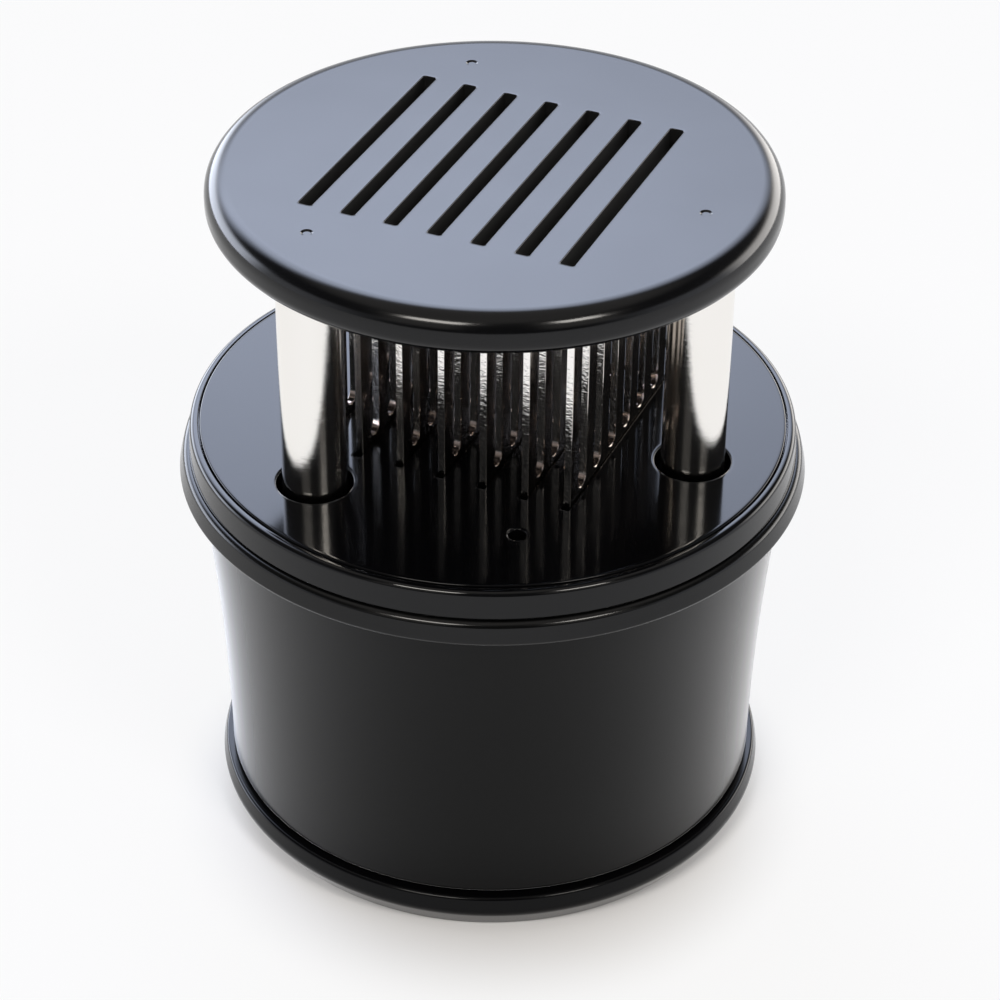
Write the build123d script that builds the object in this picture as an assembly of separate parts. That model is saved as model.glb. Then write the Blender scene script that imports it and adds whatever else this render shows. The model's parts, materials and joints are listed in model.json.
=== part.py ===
from build123d import *
import os
from math import cos, radians, sin

# Round hand-held blade tenderizer, standing on its palm cap with the blades up.
# Millimetres. The origin is the centre of the flat that the cap stands on, +Z is up,
# and the rows of blades run along Y.
#
# The handle is a round shell closed by the palm cap. A collar ring and a deck plate close
# its blade end. Stamped blade combs stand in a holder under the deck and pass through it.
# The slotted guard plate is carried on hollow steel columns that slide through bushes into
# the handle, against return springs, so that the blades come out through the guard.

# ---- Blade combs ----
ROW_COUNT = 7
ROW_PITCH = 7.0
TEETH_PER_ROW = 7
TOOTH_PITCH = 6.1
TOOTH_WIDTH = 3.0
BLADE_THICKNESS = 1.2
TOOTH_ROOT_HEIGHT = 1.2  # round bottom of the gaps, above the deck
TIP_RECESS = 5.2  # tips below the guard's face at rest
TIP_POINT_LENGTH = 3.2
TIP_FLAT = 0.6
TIP_EDGE_THICKNESS = 0.3
COMB_PIN_RADIUS = 1.5
COMB_PIN_SPACING = 26.0
COMB_PIN_HEIGHT = 4.0  # pin axis above the foot of the comb

# ---- Guide columns and what is fixed to them ----
COLUMN_COUNT = 3
COLUMN_RADIUS = 5.0
COLUMN_WALL = 0.8
COLUMN_SOCKET_DEPTH = 4.6  # how far a column stands in the guard
INSERT_LENGTH = 8.0
COLUMN_SCREW_RADIUS = 1.65
COLUMN_SCREW_LENGTH = 8.5
COLUMN_SCREW_HEAD_RADIUS = 3.25
COLUMN_SCREW_HEAD_HEIGHT = 2.4
WASHER_THICKNESS = 2.0
WASHER_SETBACK = 0.4  # washer inside the rim of the bush flange above it

# ---- Motion and springs ----
TRAVEL = 32.0
PRESS_CLEARANCE = 5.75  # left between guard and deck at full press, so that no skin is pinched
STOP_GAP = 0.3  # washer below the bush at rest
SPRING_WIRE = 1.1
SPRING_TURNS = 7
SPRING_RESERVE = 0.8  # left before the turns close up
SPRING_CORE_CLEARANCE = 0.6

# ---- Bushes and guide frame ----
BUSH_WALL = 1.15
BUSH_FLANGE_WIDTH = 0.9
BUSH_FLANGE_THICKNESS = 1.2
BUSH_BOSS_WALL = 1.45
FRAME_THICKNESS = 3.0
FRAME_WINDOW_WIDTH = 34.0
FRAME_WINDOW_LENGTH = 28.0
WINDOW_ROUND = 4.0
BUSH_BOSS_DEPTH = 7.6  # top of a bush boss below the deck's underside
BLADE_TO_BOSS = 1.94  # comb end to bush boss

# ---- Blade holder ----
HOLDER_HEIGHT = 15.0
HOLDER_FLOOR = 3.0
HOLDER_SIDE_WALL = 2.6
HOLDER_END_WALL = 1.8
HOLDER_CORNER_ROUND = 2.0

# ---- Deck, collar and their screws ----
DECK_THICKNESS = 3.0
DECK_EDGE_BREAK = 0.3
DECK_HOLE_CLEARANCE = 0.95  # round a column
DECK_SLOT_SIDE = 0.15
DECK_SLOT_END = 1.0
DECK_BOSS_RADIUS = 3.7
SEAM_GAP = 0.25
COLLAR_FLOOR = 2.0
COLLAR_LIP_WIDTH = 1.3
COLLAR_SETBACK = 1.7  # collar's foot inside the flange
COLLAR_DRAFT = 0.35
COLLAR_DROP = 0.2  # lip below the deck's face
COLLAR_SHOULDER_ROUND = 0.45
COLLAR_FOOT_BREAK = 0.3
COLLAR_SPIGOT_HEIGHT = 4.0
COLLAR_SPIGOT_WALL = 2.2
SCREW_RADIUS = 1.35
SCREW_HOLE_RADIUS = 1.4
SCREW_PASSAGE_RADIUS = 1.7
SCREW_HEAD_RADIUS = 2.8
SCREW_HEAD_HEIGHT = 2.2
SCREW_END_RECESS = 4.0  # end of a screw below the deck's face

# ---- Handle shell and palm cap ----
SHELL_WALL = 2.6
SHELL_FLARE = 3.3  # radius gained from the upright foot to the neck
FLANGE_OVERHANG = 3.1
FLANGE_THICKNESS = 3.6
FLANGE_DRAFT = 0.85
FLANGE_TOP_ROUND = 1.1
FLANGE_EDGE_ROUND = 0.6
FLANGE_SLOPE = 0.6
FLANGE_ROOT_ROUND = 1.0
LUG_HEIGHT = 5.0
LUG_RADIUS = 4.5
CAP_OVERHANG = 1.9  # belly outside the shell's foot
CAP_RIM_HEIGHT = 7.2
CAP_BELLY_HEIGHT = 4.4
CAP_BELLY_ROUND = 2.0
CAP_TOP_DRAFT = 0.75  # radius lost from belly to rim
CAP_TOP_ROUND = 0.6
CAP_UNDERCUT = 2.9  # radius lost from belly to foot
CAP_FOOT_ROUND = 0.8
CAP_WALL = 2.4
CAP_LAND_WIDTH = 1.0
CAP_SPIGOT_HEIGHT = 5.2
CAP_SPIGOT_WALL = 2.0
CAP_RIB_THICKNESS = 1.6
GROOVE_HEIGHT = 0.5
SNAP_HEIGHT = 0.4
SNAP_LENGTH = 1.6
SEAT_POST_HEIGHT = 3.6
SEAT_POST_RADIUS = 7.0
SEAT_PIN_HEIGHT = 3.0

# ---- Guard plate ----
GUARD_THICKNESS = 6.45
GUARD_TOP_WALL = 2.4
GUARD_RIM_WALL = 3.2
GUARD_RIM_WIDTH = 3.0  # rim outside the column bosses
GUARD_DRAFT = 0.1
GUARD_TOP_ROUND = 3.2
GUARD_EDGE_ROUND = 2.3
GUARD_BOSS_WALL = 2.05
GUARD_SLOT_SIDE = 0.5
GUARD_SLOT_END = 2.4
GUARD_SLOT_ROUND = 0.4
GUARD_RIB = 1.2
GUARD_RIB_SHORT = 0.6  # ribs above the rim's edge
GATE_MARK_RADIUS = 0.95  # mouth of the pit where a gate broke off
GATE_MARK_FLOOR_RADIUS = 0.6
GATE_MARK_DEPTH = 0.22

# ---- Clearances ----
RUNNING_FIT = 0.05  # column in its bush
LOCATING_FIT = 0.05  # pieces of one body that plug together
SHELL_FIT = 0.1
INNER_FIT = 0.2  # large inner pieces in the shell's bore
SCALLOP_FIT = 0.4

# ---- Blade field and columns: sizes that follow ----
row_length = (TEETH_PER_ROW - 1) * TOOTH_PITCH + TOOTH_WIDTH
row_places = [(row - (ROW_COUNT - 1) / 2) * ROW_PITCH for row in range(ROW_COUNT)]
tooth_gap = TOOTH_PITCH - TOOTH_WIDTH
bush_bore = COLUMN_RADIUS + RUNNING_FIT
bush_radius = bush_bore + BUSH_WALL
bush_flange_radius = bush_radius + BUSH_FLANGE_WIDTH
bush_boss_radius = bush_radius + LOCATING_FIT + BUSH_BOSS_WALL
column_azimuths = [360 / COLUMN_COUNT * column for column in range(COLUMN_COUNT)]
screw_azimuths = [azimuth + 180 / COLUMN_COUNT for azimuth in column_azimuths]
column_circle = (row_length / 2 + BLADE_TO_BOSS + bush_boss_radius) / sin(radians(60))
column_bore = COLUMN_RADIUS - COLUMN_WALL
spring_radius = COLUMN_SCREW_HEAD_RADIUS + SPRING_CORE_CLEARANCE + SPRING_WIRE / 2

# ---- Radii of the handle and the guard ----
shell_bore = column_circle + bush_flange_radius + INNER_FIT
shell_foot_radius = shell_bore + SHELL_WALL
shell_neck_radius = shell_foot_radius + SHELL_FLARE
shell_mouth_radius = shell_neck_radius - SHELL_WALL
flange_radius = shell_neck_radius + FLANGE_OVERHANG
collar_radius = flange_radius - COLLAR_SETBACK
collar_top_radius = collar_radius - COLLAR_DRAFT
collar_recess_radius = collar_top_radius - COLLAR_LIP_WIDTH
deck_radius = collar_recess_radius - SEAM_GAP
collar_spigot_radius = shell_mouth_radius - SHELL_FIT
collar_bore = collar_spigot_radius - COLLAR_SPIGOT_WALL
cap_radius = shell_foot_radius + CAP_OVERHANG
guard_boss_radius = COLUMN_RADIUS + LOCATING_FIT + GUARD_BOSS_WALL
guard_radius = column_circle + guard_boss_radius + GUARD_RIM_WIDTH

# ---- Heights, from the table up ----
shell_foot = CAP_RIM_HEIGHT + GROOVE_HEIGHT
spring_seat = CAP_WALL + SEAT_POST_HEIGHT
washer_foot = spring_seat + SPRING_TURNS * SPRING_WIRE + SPRING_RESERVE + TRAVEL
column_foot = washer_foot + WASHER_THICKNESS
bush_foot = column_foot + STOP_GAP
frame_foot = bush_foot + BUSH_FLANGE_THICKNESS
frame_top = frame_foot + FRAME_THICKNESS
deck_seat = frame_top + HOLDER_HEIGHT
deck_top = deck_seat + DECK_THICKNESS
bush_boss_top = deck_seat - BUSH_BOSS_DEPTH
flange_top = deck_seat - COLLAR_FLOOR
flange_foot = flange_top - FLANGE_THICKNESS
neck_height = flange_foot - FLANGE_SLOPE
guard_foot = deck_top + TRAVEL + PRESS_CLEARANCE
guard_top = guard_foot + GUARD_THICKNESS
guard_ceiling = guard_top - GUARD_TOP_WALL
column_top = guard_foot + COLUMN_SOCKET_DEPTH
comb_foot = frame_top + HOLDER_FLOOR
comb_pin_level = comb_foot + COMB_PIN_HEIGHT
tooth_root = deck_top + TOOTH_ROOT_HEIGHT
blade_tip = guard_top - TIP_RECESS

UPRIGHT = (Align.CENTER, Align.CENTER, Align.MIN)


def on_circle(azimuth):
    """Return the point of the column circle at an azimuth."""
    angle = radians(azimuth)
    return column_circle * cos(angle), column_circle * sin(angle)


def disc(radius, foot, top, centre=(0, 0)):
    """Return an upright cylinder between two heights."""
    return Pos(*centre, foot) * Cylinder(radius, top - foot, align=UPRIGHT)


def block(width, length, foot, top, x=0, y=0):
    """Return an upright box between two heights."""
    return Pos(x, y, foot) * Box(width, length, top - foot, align=UPRIGHT)


def turned(outline, corners):
    """Return the solid that an outline makes about Z; a third number in a corner is its round."""
    for corner in corners:
        if len(corner) == 3:
            vertex = outline.vertices().sort_by_distance((*corner[:2], 0))[0]
            outline = fillet(vertex, corner[2])
    return revolve(Plane.XZ * outline, Axis.Z)


def turned_profile(*corners):
    """Return a turned solid with straight sides through corners of (radius, height[, round])."""
    outline = make_face(Polyline(*[corner[:2] for corner in corners], close=True))
    return turned(outline, corners)


def blade_comb(x):
    """Return one stamped comb: a strip with pointed teeth, ground thin at the points."""
    strip = Pos(0, comb_foot) * Rectangle(row_length, blade_tip - comb_foot, align=(Align.CENTER, Align.MIN))
    gap_depth = blade_tip - tooth_root
    gap_round = tooth_gap / 2
    for gap in range(TEETH_PER_ROW - 1):
        middle = (gap - (TEETH_PER_ROW - 2) / 2) * TOOTH_PITCH
        strip -= Pos(middle, tooth_root + gap_round) * Circle(gap_round)
        strip -= Pos(middle, blade_tip) * Rectangle(
            tooth_gap, gap_depth - gap_round, align=(Align.CENTER, Align.MAX)
        )
    bevel = (TOOTH_WIDTH - TIP_FLAT) / 2
    for tooth in range(TEETH_PER_ROW):
        middle = (tooth - (TEETH_PER_ROW - 1) / 2) * TOOTH_PITCH
        for side in (-1, 1):
            corner = (middle + side * TOOTH_WIDTH / 2, blade_tip)
            strip -= make_face(
                Polyline(
                    corner,
                    (corner[0] - side * bevel, blade_tip),
                    (corner[0], blade_tip - TIP_POINT_LENGTH),
                    close=True,
                )
            )
    for y in (-COMB_PIN_SPACING / 2, COMB_PIN_SPACING / 2):
        strip -= Pos(y, comb_pin_level) * Circle(COMB_PIN_RADIUS + LOCATING_FIT)
    comb = extrude(Plane.YZ * strip, BLADE_THICKNESS / 2, both=True)
    grind_depth = (BLADE_THICKNESS - TIP_EDGE_THICKNESS) / 2
    for side in (-1, 1):
        face_x = side * BLADE_THICKNESS / 2
        wedge = make_face(
            Polyline(
                (face_x, blade_tip),
                (face_x - side * grind_depth, blade_tip),
                (face_x, blade_tip - TIP_POINT_LENGTH),
                close=True,
            )
        )
        comb -= extrude(Plane.XZ * wedge, row_length, both=True)
    return Pos(x, 0, 0) * comb


def comb_pins():
    """Return the two cross pins that string the combs together."""
    length = holder_width()
    pins = []
    for y in (-COMB_PIN_SPACING / 2, COMB_PIN_SPACING / 2):
        pin = Rot(0, 90, 0) * Cylinder(COMB_PIN_RADIUS, length)
        pins.append(Pos(0, y, comb_pin_level) * pin)
    return pins


def holder_width():
    """Return the holder's size across the rows."""
    return (ROW_COUNT - 1) * ROW_PITCH + BLADE_THICKNESS + 2 * HOLDER_SIDE_WALL


def blade_holder():
    """Return the slotted block that carries the combs, scalloped round the bush bosses."""
    length = row_length + 2 * HOLDER_END_WALL
    outline = RectangleRounded(holder_width(), length, HOLDER_CORNER_ROUND)
    holder = Pos(0, 0, frame_top) * extrude(outline, HOLDER_HEIGHT)
    for azimuth in column_azimuths:
        holder -= disc(bush_boss_radius + SCALLOP_FIT, frame_top, deck_seat, on_circle(azimuth))
    slot_width = BLADE_THICKNESS + 2 * LOCATING_FIT
    slot_length = row_length + 2 * LOCATING_FIT
    for x in row_places:
        holder -= block(slot_width, slot_length, comb_foot, deck_seat, x)
    for y in (-COMB_PIN_SPACING / 2, COMB_PIN_SPACING / 2):
        passage = Rot(0, 90, 0) * Cylinder(COMB_PIN_RADIUS + LOCATING_FIT, holder_width())
        holder -= Pos(0, y, comb_pin_level) * passage
    return holder


def deck_plate():
    """Return the deck: column holes, comb slots, and screw bosses whose bores open at its face."""
    deck = disc(deck_radius, deck_seat, deck_top)
    deck = chamfer(deck.edges().group_by(Axis.Z)[-1], DECK_EDGE_BREAK)
    for azimuth in column_azimuths:
        hole_radius = COLUMN_RADIUS + DECK_HOLE_CLEARANCE
        hole = disc(hole_radius, deck_seat, deck_top, on_circle(azimuth))
        mouth = Cone(hole_radius, hole_radius + DECK_EDGE_BREAK, DECK_EDGE_BREAK, align=UPRIGHT)
        deck -= hole + Pos(*on_circle(azimuth), deck_top - DECK_EDGE_BREAK) * mouth
    for azimuth in screw_azimuths:
        deck += disc(DECK_BOSS_RADIUS, frame_top + LUG_HEIGHT, deck_seat, on_circle(azimuth))
    for azimuth in screw_azimuths:
        deck -= disc(SCREW_HOLE_RADIUS, frame_top, deck_top, on_circle(azimuth))
    slot_width = BLADE_THICKNESS + 2 * DECK_SLOT_SIDE
    slot_length = row_length + 2 * DECK_SLOT_END
    for x in row_places:
        deck -= block(slot_width, slot_length, deck_seat, deck_top, x)
    return deck


def collar_ring():
    """Return the ring that seats on the shell's flange and holds the deck in its recess."""
    lip_top = deck_top - COLLAR_DROP
    return turned_profile(
        (collar_bore, flange_top - COLLAR_SPIGOT_HEIGHT),
        (collar_spigot_radius, flange_top - COLLAR_SPIGOT_HEIGHT),
        (collar_spigot_radius, flange_top),
        (collar_radius - COLLAR_FOOT_BREAK, flange_top),
        (collar_radius, flange_top + COLLAR_FOOT_BREAK),
        (collar_top_radius, lip_top, COLLAR_SHOULDER_ROUND),
        (collar_recess_radius, lip_top),
        (collar_recess_radius, deck_seat),
        (collar_bore, deck_seat),
    )


def deck_screws():
    """Return the long screws that clamp the deck, the shell's lugs and the guide frame."""
    screws = []
    for azimuth in screw_azimuths:
        shank = disc(SCREW_RADIUS, frame_foot, deck_top - SCREW_END_RECESS, on_circle(azimuth))
        head = disc(SCREW_HEAD_RADIUS, frame_foot - SCREW_HEAD_HEIGHT, frame_foot, on_circle(azimuth))
        screws.append(shank + head)
    return screws


def guide_frame():
    """Return the inner frame: a round plate with three bush bosses, open in the middle."""
    frame_radius = shell_bore - INNER_FIT
    frame = disc(frame_radius, frame_foot, frame_top)
    for azimuth in column_azimuths:
        frame += disc(bush_boss_radius, frame_foot, bush_boss_top, on_circle(azimuth))
    frame &= disc(frame_radius, frame_foot, bush_boss_top)
    for azimuth in column_azimuths:
        frame -= disc(bush_radius + LOCATING_FIT, frame_foot, bush_boss_top, on_circle(azimuth))
    for azimuth in screw_azimuths:
        frame -= disc(SCREW_PASSAGE_RADIUS, frame_foot, frame_top, on_circle(azimuth))
    window = RectangleRounded(FRAME_WINDOW_WIDTH, FRAME_WINDOW_LENGTH, WINDOW_ROUND)
    frame -= Pos(0, 0, frame_foot) * extrude(window, FRAME_THICKNESS)
    return frame


def guide_bush(azimuth):
    """Return one flanged bush, pushed into the frame from below."""
    centre = on_circle(azimuth)
    bush = disc(bush_radius, bush_foot, bush_boss_top, centre)
    bush += disc(bush_flange_radius, bush_foot, frame_foot, centre)
    return bush - disc(bush_bore, bush_foot, bush_boss_top, centre)


def shell_wall():
    """Return the turned wall, which flares from an upright foot to the neck under its flange."""
    foot = (shell_foot_radius, shell_foot, FLANGE_EDGE_ROUND)
    rim = [
        (shell_neck_radius, neck_height, FLANGE_ROOT_ROUND),
        (flange_radius, flange_foot, FLANGE_EDGE_ROUND),
        (flange_radius - FLANGE_DRAFT, flange_top, FLANGE_TOP_ROUND),
        (shell_mouth_radius, flange_top),
        (shell_mouth_radius, neck_height),
    ]
    outer_flare = TangentArc(foot[:2], rim[0][:2], tangent=(0, 1))
    inner_flare = TangentArc((shell_bore, shell_foot), rim[-1][:2], tangent=(0, 1))
    line = outer_flare + Polyline(*[corner[:2] for corner in rim]) + inner_flare
    line += Line(inner_flare @ 0, outer_flare @ 0)
    return turned(make_face(line), [foot, *rim])


def screw_lug(azimuth):
    """Return one lug inside the wall, with the passage for a deck screw."""
    foot = frame_top
    top = frame_top + LUG_HEIGHT
    reach = shell_mouth_radius - column_circle
    lug = disc(LUG_RADIUS, foot, top, (column_circle, 0))
    lug += block(reach, 2 * LUG_RADIUS, foot, top, column_circle + reach / 2)
    lug -= disc(SCREW_PASSAGE_RADIUS, foot, top, (column_circle, 0))
    return Rot(0, 0, azimuth) * lug


def handle_shell():
    """Return the shell: flared wall, gripping flange, snap groove and three inner screw lugs."""
    snap_middle = shell_foot + CAP_SPIGOT_HEIGHT / 2
    groove_radius = shell_bore - SHELL_FIT + SNAP_HEIGHT + LOCATING_FIT
    groove_half = SNAP_LENGTH / 2 + LOCATING_FIT
    shell = shell_wall()
    for azimuth in screw_azimuths:
        shell += screw_lug(azimuth)
    return shell - turned_profile(
        (shell_bore - SHELL_FIT, snap_middle - groove_half),
        (groove_radius, snap_middle),
        (shell_bore - SHELL_FIT, snap_middle + groove_half),
    )


def palm_cap():
    """Return the palm cap: full rounded belly, snap spigot, and a seat for each return spring."""
    spigot_radius = shell_bore - SHELL_FIT
    spigot_bore = spigot_radius - CAP_SPIGOT_WALL
    spigot_top = shell_foot + CAP_SPIGOT_HEIGHT
    snap_middle = shell_foot + CAP_SPIGOT_HEIGHT / 2
    land_radius = spigot_radius + CAP_LAND_WIDTH
    cap = turned_profile(
        (0, 0),
        (cap_radius - CAP_UNDERCUT, 0, CAP_FOOT_ROUND),
        (cap_radius, CAP_BELLY_HEIGHT, CAP_BELLY_ROUND),
        (cap_radius - CAP_TOP_DRAFT, CAP_RIM_HEIGHT, CAP_TOP_ROUND),
        (land_radius, CAP_RIM_HEIGHT),
        (land_radius, shell_foot),
        (spigot_radius, shell_foot),
        (spigot_radius, snap_middle - SNAP_LENGTH / 2),
        (spigot_radius + SNAP_HEIGHT, snap_middle),
        (spigot_radius, snap_middle + SNAP_LENGTH / 2),
        (spigot_radius, spigot_top),
        (spigot_bore, spigot_top),
        (spigot_bore, CAP_WALL),
        (0, CAP_WALL),
    )
    for azimuth in column_azimuths:
        cap += disc(SEAT_POST_RADIUS, CAP_WALL, spring_seat, on_circle(azimuth))
        cap += disc(COLUMN_SCREW_HEAD_RADIUS, spring_seat, spring_seat + SEAT_PIN_HEIGHT,
                    on_circle(azimuth))
        rib = block(column_circle, CAP_RIB_THICKNESS, CAP_WALL, spring_seat, column_circle / 2)
        cap += Rot(0, 0, azimuth) * rib
    return cap


def return_spring(azimuth):
    """Return one compression spring between its seat on the cap and the column's washer."""
    height = washer_foot - spring_seat - SPRING_WIRE
    coil = Helix(height / SPRING_TURNS, height, spring_radius)
    section = Plane(coil @ 0, z_dir=coil % 0) * Circle(SPRING_WIRE / 2)
    spring = sweep(section, coil, is_frenet=True)
    return Pos(*on_circle(azimuth), spring_seat + SPRING_WIRE / 2) * spring


def guide_column(azimuth):
    """Return one hollow guide column."""
    centre = on_circle(azimuth)
    return disc(COLUMN_RADIUS, column_foot, column_top, centre) - disc(
        column_bore, column_foot, column_top, centre
    )


def column_insert(azimuth):
    """Return the threaded plug pressed in the foot of a column."""
    centre = on_circle(azimuth)
    insert_top = column_foot + INSERT_LENGTH
    plug = disc(column_bore - LOCATING_FIT, column_foot, insert_top, centre)
    return plug - disc(COLUMN_SCREW_RADIUS + LOCATING_FIT, column_foot, insert_top, centre)


def stop_washer(azimuth):
    """Return the washer under a column, which stops it at the bush and bears on the spring."""
    centre = on_circle(azimuth)
    washer = disc(bush_flange_radius - WASHER_SETBACK, washer_foot, column_foot, centre)
    return washer - disc(COLUMN_SCREW_RADIUS + LOCATING_FIT, washer_foot, column_foot, centre)


def column_screws():
    """Return the screws that hold the stop washers to the columns."""
    screws = []
    for azimuth in column_azimuths:
        centre = on_circle(azimuth)
        shank = disc(COLUMN_SCREW_RADIUS, washer_foot, washer_foot + COLUMN_SCREW_LENGTH, centre)
        head_foot = washer_foot - COLUMN_SCREW_HEAD_HEIGHT
        screws.append(shank + disc(COLUMN_SCREW_HEAD_RADIUS, head_foot, washer_foot, centre))
    return screws


def guard_plate():
    """Return the guard: rimmed plate, ribbed slots, column bosses and gate marks on its face."""
    rim_bore = guard_radius - GUARD_RIM_WALL
    plate = turned_profile(
        (0, guard_ceiling),
        (rim_bore, guard_ceiling),
        (rim_bore, guard_foot),
        (guard_radius, guard_foot, GUARD_EDGE_ROUND),
        (guard_radius - GUARD_DRAFT, guard_top, GUARD_TOP_ROUND),
        (0, guard_top),
    )
    slot_width = BLADE_THICKNESS + 2 * GUARD_SLOT_SIDE
    slot_length = row_length + 2 * GUARD_SLOT_END
    rib_foot = guard_foot + GUARD_RIB_SHORT
    for x in row_places:
        plate += block(slot_width + 2 * GUARD_RIB, slot_length + 2 * GUARD_RIB, rib_foot, guard_ceiling, x)
    for azimuth in column_azimuths:
        plate += disc(guard_boss_radius, guard_foot, guard_ceiling, on_circle(azimuth))
    slot = extrude(RectangleRounded(slot_width, slot_length, GUARD_SLOT_ROUND), guard_top - rib_foot)
    for x in row_places:
        plate -= Pos(x, 0, rib_foot) * slot
    pit = Cone(GATE_MARK_FLOOR_RADIUS, GATE_MARK_RADIUS, GATE_MARK_DEPTH, align=UPRIGHT)
    for azimuth in column_azimuths:
        centre = on_circle(azimuth)
        plate -= disc(COLUMN_RADIUS + LOCATING_FIT, guard_foot, column_top, centre)
        plate -= Pos(*centre, guard_top - GATE_MARK_DEPTH) * pit
    return plate


def write(node, *solids):
    """Write the solids of one node to its STEP file."""
    shape = solids[0] if len(solids) == 1 else Compound(children=list(solids))
    export_step(shape, f"parts/{node}.step")


os.makedirs("parts", exist_ok=True)
write("palm_cap", palm_cap())
write("handle_shell", handle_shell())
write("guide_frame", guide_frame())
write("blade_holder", blade_holder())
write("comb_pins", *comb_pins())
write("deck_plate", deck_plate())
write("collar_ring", collar_ring())
write("deck_screws", *deck_screws())
for number, x in enumerate(row_places, start=1):
    write(f"blade_comb_{number}", blade_comb(x))
for number, azimuth in enumerate(column_azimuths, start=1):
    write(f"guide_bush_{number}", guide_bush(azimuth))
    write(f"return_spring_{number}", return_spring(azimuth))
    write(f"guide_column_{number}", guide_column(azimuth))
    write(f"column_insert_{number}", column_insert(azimuth))
    write(f"stop_washer_{number}", stop_washer(azimuth))
write("column_screws", *column_screws())
write("guard_plate", guard_plate())
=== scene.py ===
import json
import logging
import math
from dataclasses import dataclass, field, replace
from enum import Enum
from functools import cache
from typing import Any, Iterable, Sequence

import bmesh
import bpy
from bpy.types import ID, Material, Node, NodeSocket, NodeTree, Object
from mathutils import Matrix, Vector
from mathutils.geometry import delaunay_2d_cdt


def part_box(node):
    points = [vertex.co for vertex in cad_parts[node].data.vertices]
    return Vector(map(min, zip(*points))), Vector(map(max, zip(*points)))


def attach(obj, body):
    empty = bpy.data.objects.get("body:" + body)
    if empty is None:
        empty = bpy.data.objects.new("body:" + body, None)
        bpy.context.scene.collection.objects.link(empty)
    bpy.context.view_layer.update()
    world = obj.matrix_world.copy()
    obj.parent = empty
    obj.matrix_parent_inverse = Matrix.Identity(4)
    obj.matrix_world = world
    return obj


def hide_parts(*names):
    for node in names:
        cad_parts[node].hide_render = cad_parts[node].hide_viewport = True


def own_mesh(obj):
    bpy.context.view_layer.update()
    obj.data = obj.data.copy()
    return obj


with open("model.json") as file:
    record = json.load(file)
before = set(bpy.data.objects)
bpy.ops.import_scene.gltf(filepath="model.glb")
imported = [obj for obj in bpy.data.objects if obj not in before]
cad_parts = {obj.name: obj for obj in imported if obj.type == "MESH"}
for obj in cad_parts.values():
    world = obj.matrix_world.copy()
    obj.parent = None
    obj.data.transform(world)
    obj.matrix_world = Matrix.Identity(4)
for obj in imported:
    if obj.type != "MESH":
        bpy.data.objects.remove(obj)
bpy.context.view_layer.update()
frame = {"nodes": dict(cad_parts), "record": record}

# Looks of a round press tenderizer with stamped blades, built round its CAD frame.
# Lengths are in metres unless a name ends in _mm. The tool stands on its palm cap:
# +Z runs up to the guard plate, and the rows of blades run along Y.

LOG = logging.getLogger("tenderizer")

Point2 = tuple[float, float]
Corner = tuple[float, float, float]
Loop = list[Vector]
Ring = list[bmesh.types.BMVert]

COMBS = range(1, 8)
COLUMNS = range(1, 4)
MM_PER_METRE = 1000.0


class Body(Enum):
    """The two bodies that slide against each other."""

    HANDLE = "handle"
    GUARD = "guard"


class Slot(Enum):
    """Material slots of the record."""

    GUARD_PLASTIC = "guard_plastic"
    DECK_PLASTIC = "deck_plastic"
    COLLAR_PLASTIC = "collar_plastic"
    SHELL_PLASTIC = "shell_plastic"
    CAP_PLASTIC = "cap_plastic"
    INNER_PLASTIC = "inner_plastic"
    BUSH_ACETAL = "bush_acetal"
    BLADE_STEEL = "blade_steel"
    COLUMN_STEEL = "column_steel"
    SPRING_STEEL = "spring_steel"
    FASTENER_STEEL = "fastener_steel"


def mm(value: float) -> float:
    """Return a length in millimetres as metres."""
    return value / MM_PER_METRE


def per_metre(size_mm: float) -> float:
    """Return the texture scale that gives a pattern of this size in millimetres."""
    return MM_PER_METRE / size_mm


def linear(colour: str) -> tuple[float, float, float, float]:
    """Turn an sRGB hex colour to the linear colour that a shader takes, by the curve of the standard.

    Args:
        colour: the colour as "#rrggbb".

    Returns:
        Linear red, green and blue, and an alpha of one.
    """
    channels = [int(colour[place:place + 2], 16) / 255.0 for place in (1, 3, 5)]
    values = [c / 12.92 if c <= 0.04045 else ((c + 0.055) / 1.055) ** 2.4 for c in channels]
    return values[0], values[1], values[2], 1.0


def add_node(tree: NodeTree, kind: str, inputs: dict[Any, Any] | None = None, **settings: Any) -> Node:
    """Add one shader node with its settings and links.

    Args:
        tree: the node tree that gets the node.
        kind: the node's type name after "ShaderNode".
        inputs: for each input, by name or place, a value to set, an output to link, or a node
            whose first output in use is linked.
        settings: attributes of the node.

    Returns:
        The new node.
    """
    node = tree.nodes.new("ShaderNode" + kind)
    for attribute, value in settings.items():
        setattr(node, attribute, value)
    for name, value in (inputs or {}).items():
        if isinstance(value, Node):
            value = next(output for output in value.outputs if output.enabled)
        if isinstance(value, NodeSocket):
            tree.links.new(value, node.inputs[name])
        else:
            node.inputs[name].default_value = value
    return node


def add_object(name: str, data: ID) -> Object:
    """Put an object in the scene.

    Args:
        name: the object's name.
        data: its mesh, lamp or camera.

    Returns:
        The new object.
    """
    thing = bpy.data.objects.new(name, data)
    bpy.context.scene.collection.objects.link(thing)
    return thing


# Finishes

# Nearly all values of a noise lie between these two.
NOISE_LOW, NOISE_HIGH = 0.3, 0.7


@dataclass(frozen=True)
class Finish:
    """A surface as it was made. The colour is that of its broad faces."""

    name: str
    colour: str

    def build(self) -> Material:
        """Make the material.

        Returns:
            The node material.
        """
        material = bpy.data.materials.new(self.name)
        material.use_nodes = True
        tree = material.node_tree
        tree.nodes.clear()
        add_node(tree, "OutputMaterial", {"Surface": self.shade(tree)})
        return material

    def shade(self, tree: NodeTree) -> Node:
        """Add the surface's nodes and return its shader."""
        raise NotImplementedError(self.name)


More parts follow.
